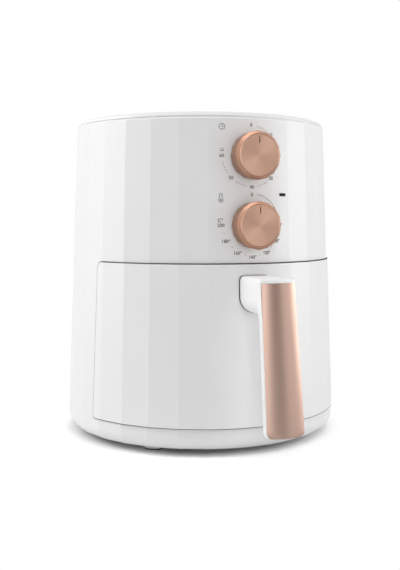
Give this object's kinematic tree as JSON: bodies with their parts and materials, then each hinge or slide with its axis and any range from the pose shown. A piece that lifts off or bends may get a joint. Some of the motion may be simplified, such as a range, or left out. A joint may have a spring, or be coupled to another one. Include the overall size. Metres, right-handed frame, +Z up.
{
  "type": "basket air fryer",
  "caption": "White faceted table-top air fryer with a pull-out pan drawer, rose-gold dials and a rose-gold grip.",
  "frame": {"origin": "on the table, under the middle of the whole object's box; the body's upright axis is 32.0 mm behind it", "axes": "+Z up, -Y towards the user, so the drawer slides along -Y; +X to the right as seen from the front"},
  "size_m": [0.2692, 0.3356, 0.3119],
  "materials": {
    "white_shell": "glossy white ABS moulding",
    "rose_gold": "satin rose-gold plated ABS",
    "rose_gold_face": "spun rose-gold anodised disc",
    "black_gloss": "black glossy lens",
    "black_plastic": "matt black heat-proof moulding",
    "rubber": "black rubber",
    "silicone": "dark silicone",
    "dark_coat": "dark grey non-stick coating",
    "steel": "bare sheet steel",
    "heater": "dark sheathed heater tube",
    "insulation": "ceramic fibre felt",
    "cream_plastic": "cream heat-proof moulding",
    "red_plastic": "red plunger",
    "brass": "brass bell",
    "copper": "copper capillary"
  },
  "bodies": {
    "casing": {"housing": "white_shell", "top_cover": "white_shell", "base_plate": "white_shell", "foot_front_left": "white_shell", "foot_front_right": "white_shell", "foot_rear_left": "white_shell", "foot_rear_right": "white_shell", "pad_front_left": "rubber", "pad_front_right": "rubber", "pad_rear_left": "rubber", "pad_rear_right": "rubber", "cavity_floor": "white_shell", "base_screws": "steel", "chamber_liner": "steel", "mouth_frame": "black_plastic", "rail_left": "black_plastic", "rail_right": "black_plastic", "chamber_top": "steel", "insulation_pad": "insulation", "motor_deck": "steel", "heating_element": "heater", "element_clips": "steel", "wire_guard": "steel", "motor_bridge": "steel", "motor": "steel", "motor_screws": "steel", "rear_outlet": "white_shell", "exhaust_duct": "steel", "cord_gland": "black_plastic", "terminal_block": "cream_plastic", "switch_body": "black_plastic", "control_bracket": "steel", "control_screws": "steel", "timer_unit": "cream_plastic", "timer_bell": "brass", "thermostat_unit": "cream_plastic", "thermostat_bulb": "copper", "lamp_lens": "black_gloss", "lamp_holder": "cream_plastic", "thermal_fuse": "cream_plastic"},
    "drawer": {"drawer_front": "white_shell", "drawer_back_panel": "white_shell", "pan": "dark_coat", "pan_bracket": "steel", "drawer_screws": "steel", "handle_body": "white_shell", "handle_cover": "rose_gold", "handle_screws": "steel"},
    "plate": {"crisper_plate": "dark_coat", "plate_bumpers": "silicone"},
    "timer_dial": {"timer_shaft": "steel", "timer_knob": "rose_gold", "timer_knob_face": "rose_gold_face"},
    "temperature_dial": {"temperature_shaft": "steel", "temperature_knob": "rose_gold", "temperature_knob_face": "rose_gold_face"},
    "fans": {"hot_fan": "steel", "cooling_fan": "black_plastic", "motor_shaft": "steel"},
    "plunger": {"switch_plunger": "red_plastic"}
  },
  "joints": [
    {"name": "drawer_slide", "type": "slide", "parent": "casing", "child": "drawer", "axis": [0, -1, 0], "range_m": [0, 0.25]},
    {"name": "plate_lift", "type": "slide", "parent": "drawer", "child": "plate", "axis": [0, 0, 1], "range_m": [0, 0.07]},
    {"name": "timer_turn", "type": "hinge", "parent": "casing", "child": "timer_dial", "pos_m": [0, -0.09297, 0.2678], "axis": [0, 1, 0], "range_deg": [0, 270]},
    {"name": "temperature_turn", "type": "hinge", "parent": "casing", "child": "temperature_dial", "pos_m": [0, -0.09297, 0.2067], "axis": [0, 1, 0], "range_deg": [0, 270]},
    {"name": "fan_spin", "type": "hinge", "parent": "casing", "child": "fans", "pos_m": [0, 0.03203, 0.2125], "axis": [0, 0, 1], "continuous": true},
    {"name": "plunger_press", "type": "slide", "parent": "casing", "child": "plunger", "axis": [0, 1, 0], "range_m": [0, 0.0015], "stiffness_N_per_m": 200}
  ]
}
